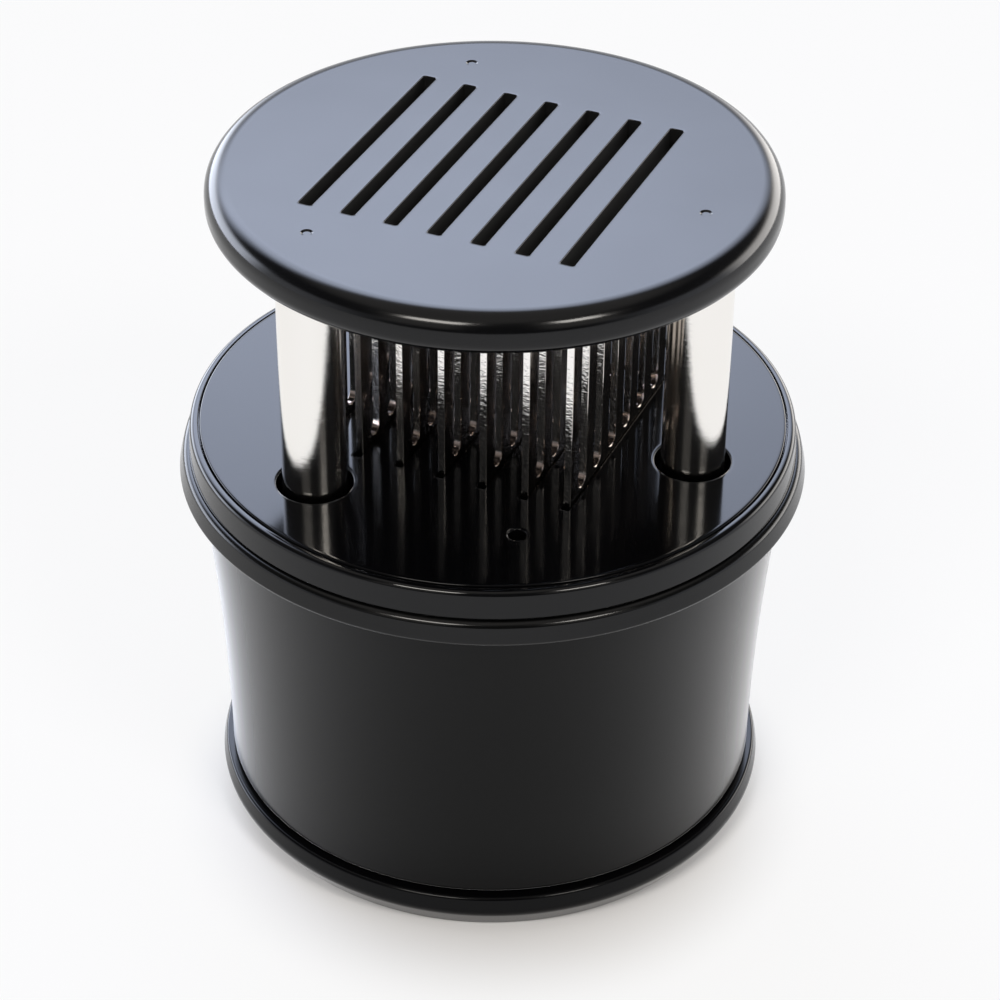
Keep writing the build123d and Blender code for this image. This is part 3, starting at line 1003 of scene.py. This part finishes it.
@dataclass
class GuardPlate:
    """The slotted guard: rounded rim, ribs under the slots, bosses on the columns, gate marks on its face."""

    top_wall: float = mm(2.4)
    depth: float = mm(6.45)
    rim_wall: float = mm(3.2)
    draft: float = mm(0.1)
    top_round: float = mm(3.2)
    edge_round: float = mm(2.3)
    slot_side: float = mm(0.5)
    slot_end: float = mm(2.4)
    slot_round: float = mm(0.4)
    slot_edge: float = mm(0.16)
    rib: float = mm(1.2)
    rib_short: float = mm(0.6)
    boss_fit: float = mm(0.05)
    boss_wall: float = mm(2.05)
    boss_sunk: float = mm(0.4)
    boss_steps: int = 80
    mark_radius: float = mm(0.95)
    mark_floor: float = mm(0.6)
    mark_depth: float = mm(0.22)
    mark_steps: int = 32
    span: Span = field(default_factory=lambda: Span.of("guard_plate"))

    @property
    def foot(self) -> float:
        """Return the height of the rim's lower edge."""
        return self.span.top - self.depth

    @property
    def ceiling(self) -> float:
        """Return the height of the plate's underside."""
        return self.span.top - self.top_wall

    def rim(self) -> list[Point2]:
        """Draw the rim from the edge of the face round to the edge of the ceiling.

        Returns:
            (radius, height) points, with a flat band first.
        """
        top, radius = self.span.top, self.span.radius
        bore = radius - self.rim_wall
        outline = rounded_outline([
            (0.0, self.ceiling, 0.0), (0.0, top, 0.0),
            (radius - self.draft, top, self.top_round), (radius, self.foot, self.edge_round),
            (bore, self.foot, self.slot_round), (bore, self.ceiling, self.slot_round)])
        return [(outline[2][0] - FLAT_BAND, top), *outline[2:]]

    def slot_hole(self, x: float, blades: BladeField) -> Hole:
        """Cut one slot with its eased mouth and the rib round it.

        Args:
            x: where the row of blades stands.
            blades: the combs that pass through.

        Returns:
            The hole.
        """
        width = blades.thickness + 2 * self.slot_side
        length = blades.length + 2 * self.slot_end
        rib_foot = self.foot + self.rib_short
        rings = [slot_loop(width + 2 * out, length + 2 * out, self.slot_round + out, self.span.top - drop, x)
                 for out, drop in edge_rows(self.slot_edge)]
        rings.append(slot_loop(width, length, self.slot_round, rib_foot, x))
        rings += [
            slot_loop(width + 2 * self.rib, length + 2 * self.rib, self.slot_round + self.rib, height, x)
            for height in (rib_foot, self.ceiling)]
        return Hole(rings)

    def mark_hole(self, centre: Point2) -> Hole:
        """Press one gate mark, a shallow pit with a sloped wall.

        Args:
            centre: where it lies.

        Returns:
            The recess.
        """
        top = self.span.top
        places = ((self.mark_radius + FLAT_BAND, top), (self.mark_radius, top),
                  (self.mark_floor, top - self.mark_depth))
        return Hole([circle_loop(radius, height, centre, self.mark_steps) for radius, height in places],
                    through=False)

    def build(self, blades: BladeField, columns: ColumnSet) -> None:
        """Make the guard plate with its bosses.

        Args:
            blades: the combs that pass through its slots.
            columns: what its bosses hold.
        """
        maker = MeshMaker("slotted_guard")
        holes = [self.slot_hole(x, blades) for x in blades.rows]
        holes += [self.mark_hole(centre) for centre in columns.centres]
        maker.plate(self.rim(), holes)
        bore = columns.radius + self.boss_fit
        outer, top = bore + self.boss_wall, self.ceiling + self.boss_sunk
        boss = rounded_outline([
            (bore, self.foot, 0.0), (outer, self.foot, self.slot_round), (outer, top, 0.0),
            (bore, top, 0.0)], SLOT_CORNER_STEPS)
        for centre in columns.centres:
            maker.turn(boss, centre, steps=self.boss_steps)
        maker.finish(Body.GUARD, Slot.GUARD_PLASTIC, ["guard_plate"])


@dataclass
class DeckPlate:
    """The glossy deck with its column holes, comb slots and screw bores."""

    thickness: float = mm(3.0)
    edge_break: float = mm(0.3)
    hole_clearance: float = mm(0.95)
    hole_steps: int = 72
    slot_side: float = mm(0.15)
    slot_end: float = mm(1.0)
    slot_round: float = mm(0.2)
    slot_edge: float = mm(0.08)
    screw_bore: float = mm(1.4)
    boss_radius: float = mm(3.7)
    boss_sunk: float = mm(0.2)
    boss_steps: int = 48
    span: Span = field(default_factory=lambda: Span.of("deck_plate"))

    @property
    def top(self) -> float:
        """Return the height of the deck's face."""
        return self.span.top

    @property
    def underside(self) -> float:
        """Return the height of the plate's underside."""
        return self.span.top - self.thickness

    def round_hole(self, radius: float, centre: Point2) -> Hole:
        """Cut one round hole with an eased mouth.

        Args:
            radius: the hole's radius.
            centre: where it lies.

        Returns:
            The hole.
        """
        rows = [(radius + out, self.top - drop) for out, drop in edge_rows(self.edge_break)]
        return Hole([circle_loop(reach, height, centre, self.hole_steps)
                     for reach, height in (*rows, (radius, self.underside))])

    def slot_hole(self, x: float, blades: BladeField) -> Hole:
        """Cut one comb slot.

        Args:
            x: where the row of blades stands.
            blades: the combs that stand in the slots.

        Returns:
            The hole.
        """
        width = blades.thickness + 2 * self.slot_side
        length = blades.length + 2 * self.slot_end
        rings = [slot_loop(width + 2 * out, length + 2 * out, self.slot_round + out, self.top - drop, x)
                 for out, drop in edge_rows(self.slot_edge)]
        rings.append(slot_loop(width, length, self.slot_round, self.underside, x))
        return Hole(rings)

    def build(self, blades: BladeField, columns: ColumnSet) -> None:
        """Make the deck plate with its screw bosses, which stand across from the columns.

        Args:
            blades: the combs that stand in its slots.
            columns: what passes through its holes.
        """
        maker = MeshMaker("polished_deck")
        radius = self.span.radius
        rim = [(radius - out, self.top - drop) for out, drop in edge_rows(self.edge_break)]
        rim.append((radius, self.underside))
        screws = [(-x, -y) for x, y in columns.centres]
        holes = [self.slot_hole(x, blades) for x in blades.rows]
        holes += [self.round_hole(columns.radius + self.hole_clearance, centre) for centre in columns.centres]
        holes += [self.round_hole(self.screw_bore, centre) for centre in screws]
        maker.plate(rim, holes)
        foot, top = self.span.bottom, self.underside + self.boss_sunk
        for centre in screws:
            maker.turn([(self.screw_bore, foot), (self.boss_radius, foot), (self.boss_radius, top),
                        (self.screw_bore, top)], centre, steps=self.boss_steps)
        maker.finish(Body.HANDLE, Slot.DECK_PLASTIC, ["deck_plate"])


@dataclass
class HandleDrum:
    """The handle: flared shell with its gripping flange, the collar ring on it and the palm cap under it."""

    shell_wall: float = mm(2.6)
    flare: float = mm(3.3)
    flare_steps: int = 18
    flange_overhang: float = mm(2.97)
    flange_trim: float = mm(0.119)
    flange_thickness: float = mm(3.6)
    flange_draft: float = mm(0.85)
    flange_top_round: float = mm(1.1)
    flange_edge_round: float = mm(0.6)
    flange_slope: float = mm(0.6)
    flange_root_round: float = mm(1.0)
    seam_gap: float = mm(0.25)
    collar_floor: float = mm(2.0)
    collar_draft: float = mm(0.35)
    collar_shoulder: float = mm(0.95)
    collar_foot: float = mm(0.3)
    collar_lip_round: float = mm(0.15)
    collar_spigot: float = mm(2.2)
    cap_rim: float = mm(7.2)
    cap_belly: float = mm(4.4)
    cap_belly_round: float = mm(2.0)
    cap_belly_trim: float = mm(0.164)
    cap_draft: float = mm(0.75)
    cap_top_round: float = mm(0.6)
    cap_undercut: float = mm(2.9)
    cap_foot_round: float = mm(0.8)
    cap_wall: float = mm(2.4)
    cap_land: float = mm(1.0)
    cap_spigot: float = mm(2.0)
    fit: float = mm(0.1)
    shell: Span = field(default_factory=lambda: Span.of("handle_shell"))
    collar: Span = field(default_factory=lambda: Span.of("collar_ring"))
    cap: Span = field(default_factory=lambda: Span.of("palm_cap"))
    deck: Span = field(default_factory=lambda: Span.of("deck_plate"))

    @property
    def neck_radius(self) -> float:
        """Return the shell's radius under the flange."""
        return self.shell.radius - self.flange_overhang

    @property
    def neck_height(self) -> float:
        """Return the height where the flange's underside starts."""
        return self.shell.top - self.flange_thickness - self.flange_slope

    @property
    def mouth_radius(self) -> float:
        """Return the shell's inner radius at its flange."""
        return self.neck_radius - self.shell_wall

    @property
    def bore(self) -> float:
        """Return the shell's inner radius at its foot."""
        return self.mouth_radius - self.flare

    def flared(self, foot_radius: float) -> list[Corner]:
        """Draw a wall that starts upright at the foot and flares to the neck.

        Args:
            foot_radius: its radius at the foot.

        Returns:
            Sharp corners, from the foot up.
        """
        rise = self.neck_height - self.shell.bottom
        sweep = (rise ** 2 + self.flare ** 2) / (2 * self.flare)
        heights = [rise * step / self.flare_steps for step in range(self.flare_steps + 1)]
        return [(foot_radius + sweep - math.sqrt(sweep ** 2 - height ** 2), self.shell.bottom + height, 0.0)
                for height in heights]

    def build_shell(self) -> None:
        """Make the shell."""
        top = self.shell.top
        flange = self.shell.radius + self.flange_trim
        outer = self.flared(self.neck_radius - self.flare)
        inner = self.flared(self.bore)
        maker = MeshMaker("handle_drum")
        maker.turn(rounded_outline([
            (*outer[0][:2], self.flange_edge_round),
            *outer[1:-1],
            (*outer[-1][:2], self.flange_root_round),
            (flange, top - self.flange_thickness, self.flange_edge_round),
            (flange - self.flange_draft, top, self.flange_top_round),
            (self.mouth_radius, top, 0.0),
            *reversed(inner)]))
        maker.finish(Body.HANDLE, Slot.SHELL_PLASTIC, ["handle_shell"])

    def build_collar(self) -> None:
        """Make the collar ring, with its recess for the deck."""
        seat = self.shell.top
        recess = self.deck.radius + self.seam_gap
        radius, lip = self.collar.radius, self.collar.top
        spigot = self.mouth_radius - self.fit
        inner = spigot - self.collar_spigot
        maker = MeshMaker("collar_band")
        maker.turn(rounded_outline([
            (inner, self.collar.bottom, 0.0),
            (spigot, self.collar.bottom, 0.0),
            (spigot, seat, 0.0),
            (radius - self.collar_foot, seat, 0.0),
            (radius, seat + self.collar_foot, self.collar_lip_round),
            (radius - self.collar_draft, lip, self.collar_shoulder),
            (recess, lip, self.collar_lip_round),
            (recess, seat + self.collar_floor, 0.0),
            (inner, seat + self.collar_floor, 0.0)]))
        maker.finish(Body.HANDLE, Slot.COLLAR_PLASTIC, ["collar_ring"])

    def build_cap(self) -> None:
        """Make the palm cap, closed below and open to the inside above its spigot."""
        seat = self.shell.bottom
        belly = self.cap.radius + self.cap_belly_trim
        spigot = self.bore - self.fit
        land = spigot + self.cap_land
        inner = spigot - self.cap_spigot
        outline = rounded_outline([
            (0.0, 0.0, 0.0),
            (belly - self.cap_undercut, 0.0, self.cap_foot_round),
            (belly, self.cap_belly, self.cap_belly_round),
            (belly - self.cap_draft, self.cap_rim, self.cap_top_round),
            (land, self.cap_rim, 0.0), (land, seat, 0.0), (spigot, seat, 0.0),
            (spigot, self.cap.top, 0.0), (inner, self.cap.top, 0.0),
            (inner, self.cap_wall, 0.0), (0.0, self.cap_wall, 0.0)])
        maker = MeshMaker("palm_base")
        maker.turn(outline[1:-1], closed=False)
        maker.finish(Body.HANDLE, Slot.CAP_PLASTIC, ["palm_cap"])

    def build(self) -> None:
        """Make the three turned pieces."""
        self.build_shell()
        self.build_collar()
        self.build_cap()


@dataclass
class SpringSet:
    """The return springs, with closed end turns.

    The shut share is their length with the guard down over that at rest, in millimetres; it is not used.
    """

    wire: float = mm(1.1)
    turns: float = 7.0
    closed_turns: float = 1.0
    shut_share: float = 8.5 / 40.5
    steps_per_turn: int = 28
    sides: int = 10

    def height_at(self, turn: float, span: Span) -> float:
        """Follow the wire up: flat at the ends, even between.

        Args:
            turn: the turns from the foot.
            span: the room of the spring.

        Returns:
            The height of the wire's middle.
        """
        low, high = span.bottom + self.wire / 2, span.top - self.wire / 2
        lay = self.wire * self.closed_turns
        if turn < self.closed_turns:
            return low + self.wire * turn
        if turn > self.turns - self.closed_turns:
            return high - self.wire * (self.turns - turn)
        share = (turn - self.closed_turns) / (self.turns - 2 * self.closed_turns)
        return low + lay + share * (high - low - 2 * lay)

    def build(self) -> None:
        """Make the springs."""
        spokes = [2 * math.pi * side / self.sides for side in range(self.sides)]
        for number in COLUMNS:
            node = f"return_spring_{number}"
            span = Span.of(node)
            radius = span.radius - self.wire / 2
            maker = MeshMaker(f"wound_spring_{number}")
            rings = []
            for step in range(round(self.turns * self.steps_per_turn) + 1):
                turn = step / self.steps_per_turn
                angle = 2 * math.pi * turn
                outward = Vector((math.cos(angle), math.sin(angle), 0.0))
                centre = Vector((*span.axis, self.height_at(turn, span))) + outward * radius
                rings.append(maker.ring(
                    centre + (outward * math.cos(spoke) + Vector((0, 0, math.sin(spoke)))) * self.wire / 2
                    for spoke in spokes))
            maker.skin(rings)
            maker.sheet(rings[0])
            maker.sheet(rings[-1])
            piece = maker.finish(Body.HANDLE, Slot.SPRING_STEEL, [node], sharp_degrees=50.0)
            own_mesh(piece)


def dress_inner_pieces() -> None:
    """Give the CAD nodes their finishes."""
    slots = {part["node"]: part["material_slot"] for part in frame["record"]["subparts"]}
    for name, node in frame["nodes"].items():
        slot = Slot(slots[name])
        node.data.materials.clear()
        node.data.materials.append(finish_of(slot))
        if not node.hide_render:
            LOG.info("%s: kept, %s", name, slot.value)


# Studio


@dataclass(frozen=True)
class Viewpoint:
    """The camera, placed round the middle of the deck. Its angles are in degrees."""

    focal_mm: float = 108.63
    sensor_mm: float = 36.0
    azimuth: float = 23.34
    pitch: float = 35.41
    roll: float = 0.59
    distance: float = mm(481.3)
    aim_right: float = mm(1.12)
    aim_up: float = mm(-14.42)
    nearest: float = mm(10.0)
    farthest: float = 20.0

    @property
    def axes(self) -> tuple[Vector, Vector, Vector]:
        """Work out the camera's directions.

        Returns:
            Right, up and forward.
        """
        turn, dip, tilt = (math.radians(angle) for angle in (self.azimuth, self.pitch, self.roll))
        right = Vector((math.cos(turn), math.sin(turn), 0.0))
        forward = Vector((-math.sin(turn) * math.cos(dip), math.cos(turn) * math.cos(dip), -math.sin(dip)))
        up = right.cross(forward)
        return (right * math.cos(tilt) + up * math.sin(tilt),
                up * math.cos(tilt) - right * math.sin(tilt), forward)

    def build(self, deck_top: float) -> None:
        """Make the camera and look through it.

        Args:
            deck_top: height of the deck's face.
        """
        right, up, forward = self.axes
        aim = Vector((0.0, 0.0, deck_top)) + right * self.aim_right + up * self.aim_up
        data = bpy.data.cameras.new("view")
        data.lens, data.sensor_width = self.focal_mm, self.sensor_mm
        data.clip_start, data.clip_end = self.nearest, self.farthest
        camera = add_object("view", data)
        turn = Matrix((right, up, -forward)).transposed().to_4x4()
        camera.matrix_world = Matrix.Translation(aim - forward * self.distance) @ turn
        bpy.context.scene.camera = camera


@dataclass(frozen=True)
class SoftBox:
    """A lamp with a diffusing front: a bright rectangle turned to the tool. Its angles are in degrees."""

    name: str
    azimuth: float
    elevation: float
    distance: float
    width: float
    height: float
    radiance: float
    tint: str

    def build(self, aim: Vector, facing: float) -> None:
        """Make the lamp.

        Args:
            aim: what it points at.
            facing: the camera's azimuth, from which the lamp's own is counted.
        """
        turn = math.radians(self.azimuth + facing)
        rise = math.radians(self.elevation)
        away = Vector((math.sin(turn) * math.cos(rise), -math.cos(turn) * math.cos(rise), math.sin(rise)))
        data = bpy.data.lights.new(self.name, "AREA")
        data.shape = "RECTANGLE"
        data.size, data.size_y = self.width, self.height
        data.energy = self.radiance * math.pi * self.width * self.height
        data.color = linear(self.tint)[:3]
        lamp = add_object(self.name, data)
        lamp.location = aim + away * self.distance
        lamp.rotation_euler = away.to_track_quat("Z", "Y").to_euler()


@dataclass(frozen=True)
class RoomGlow:
    """A soft-edged bright stretch of the room, in degrees.

    Azimuths count from straight behind the tool, positive to the camera's right. The glow is full
    inside the first half width and gone at the second; likewise between the four elevations.
    """

    name: str
    azimuth: float
    full_width: float
    faded_width: float
    elevations: tuple[float, float, float, float]
    radiance: float
    tint: str

    def add(self, tree: NodeTree, azimuth: Node, elevation: Node) -> Node:
        """Add the glow to the room.

        Args:
            tree: the room's nodes.
            azimuth: where the ray goes, counted as the glow's own azimuth.
            elevation: how far it rises.

        Returns:
            The glow's colour.
        """
        aside = add_node(tree, "Math", {0: azimuth, 1: math.radians(self.azimuth)}, operation="SUBTRACT")
        wrapped = add_node(tree, "Math", {0: aside, 1: math.pi, 2: -math.pi}, operation="WRAP")
        off = add_node(tree, "Math", {0: wrapped}, operation="ABSOLUTE")
        low_none, low_full, high_full, high_none = (math.radians(angle) for angle in self.elevations)
        share: Node | None = None
        for value, none, full in (
                (off, math.radians(self.faded_width), math.radians(self.full_width)),
                (elevation, low_none, low_full), (elevation, high_none, high_full)):
            fade = add_node(tree, "MapRange", {"Value": value, "From Min": none, "From Max": full},
                            interpolation_type="SMOOTHSTEP")
            share = add_node(tree, "Math", {0: share, 1: fade}, operation="MULTIPLY") if share else fade
        strength = add_node(tree, "Math", {0: share, 1: self.radiance}, operation="MULTIPLY")
        return add_node(tree, "VectorMath", {0: linear(self.tint)[:3], "Scale": strength}, operation="SCALE")


@dataclass(frozen=True)
class Studio:
    """White paper in a bright room: a wide window behind the tool and two soft boxes beside the camera."""

    view: Viewpoint = Viewpoint()
    # The paper's whitening is painted light away from the tool.
    paper: PaperSweep = PaperSweep("white_paper", "#e2e2e3", whitening=0.85)
    floor_size: float = 12.0
    room_glow: float = 0.10
    glows: tuple[RoomGlow, ...] = (
        RoomGlow("window", -12.0, 8.0, 48.0, (19.0, 33.0, 46.0, 62.0), 7.4, "#dbe6ff"),
        RoomGlow("left_wall", -48.0, 22.0, 40.0, (-10.0, -4.0, 16.0, 28.0), 7.0, "#e6eeff"),
        RoomGlow("right_wall", 48.0, 22.0, 40.0, (-10.0, -4.0, 16.0, 28.0), 4.5, "#fffaf4"),
        RoomGlow("near_walls", 0.0, 100.0, 150.0, (-90.0, -80.0, 14.0, 26.0), 1.1, "#f3f6ff"),
        RoomGlow("ceiling", 0.0, 181.0, 182.0, (45.0, 66.0, 91.0, 92.0), 0.53, "#fffaf4"),
        RoomGlow("left_stand", -152.0, 9.0, 20.0, (8.0, 20.0, 36.0, 46.0), 0.55, "#fffaf4"),
        RoomGlow("right_stand", 146.0, 9.0, 20.0, (8.0, 20.0, 36.0, 46.0), 0.6, "#fffaf4"),
    )
    boxes: tuple[SoftBox, ...] = (
        SoftBox("left_box", -25.5, 47.0, 1.5, 0.49, 0.27, 19.5, "#fffaf3"),
        SoftBox("right_box", 36.3, 43.5, 1.5, 0.37, 0.27, 19.5, "#fffaf3"),
    )

    def build_world(self) -> None:
        """Make the room and its glows."""
        world = bpy.data.worlds.new("studio_room")
        bpy.context.scene.world = world
        world.use_nodes = True
        tree = world.node_tree
        tree.nodes.clear()
        inward = add_node(tree, "NewGeometry").outputs["Incoming"]
        away = add_node(tree, "VectorMath", {0: inward, "Scale": -1.0}, operation="SCALE")
        turn = math.radians(self.view.azimuth)
        behind, aside = (add_node(tree, "VectorMath", {0: away, 1: axis}, operation="DOT_PRODUCT")
                         for axis in ((-math.sin(turn), math.cos(turn), 0.0),
                                      (math.cos(turn), math.sin(turn), 0.0)))
        azimuth = add_node(tree, "Math", {0: aside, 1: behind}, operation="ARCTAN2")
        height = add_node(tree, "SeparateXYZ", {0: away}).outputs["Z"]
        elevation = add_node(tree, "Math", {0: height}, operation="ARCSINE")
        colour: Any = (self.room_glow,) * 3
        for glow in self.glows:
            colour = add_node(tree, "VectorMath", {0: colour, 1: glow.add(tree, azimuth, elevation)},
                              operation="ADD")
        room = add_node(tree, "Background", {"Color": colour, "Strength": 1.0})
        add_node(tree, "OutputWorld", {"Surface": room})

    def build_floor(self) -> None:
        """Make the paper that the tool stands on."""
        data = bpy.data.meshes.new("paper_floor")
        half = self.floor_size / 2
        corners = [(-half, -half, 0), (half, -half, 0), (half, half, 0), (-half, half, 0)]
        data.from_pydata(corners, [], [(0, 1, 2, 3)])
        data.materials.append(replace(self.paper, facing=self.view.azimuth).build())
        floor = add_object("paper_floor", data)

    def build(self, deck_top: float) -> None:
        """Make the room, the paper, the lamps and the camera.

        Args:
            deck_top: height of the deck's face, which lamps and camera look at.
        """
        self.build_world()
        self.build_floor()
        for box in self.boxes:
            box.build(Vector((0.0, 0.0, deck_top)), self.view.azimuth)
        self.view.build(deck_top)
        bpy.context.scene.view_settings.view_transform = "Standard"


def main() -> None:
    """Build the tool in order and set up the studio round it."""
    logging.basicConfig(level=logging.INFO, format="%(name)s: %(message)s")
    blades = BladeField()
    columns = ColumnSet()
    deck = DeckPlate()
    blades.build(deck.top)
    columns.build()
    GuardPlate().build(blades, columns)
    deck.build(blades, columns)
    HandleDrum().build()
    SpringSet().build()
    dress_inner_pieces()
    Studio().build(deck.top)


if __name__ == "__main__":
    main()
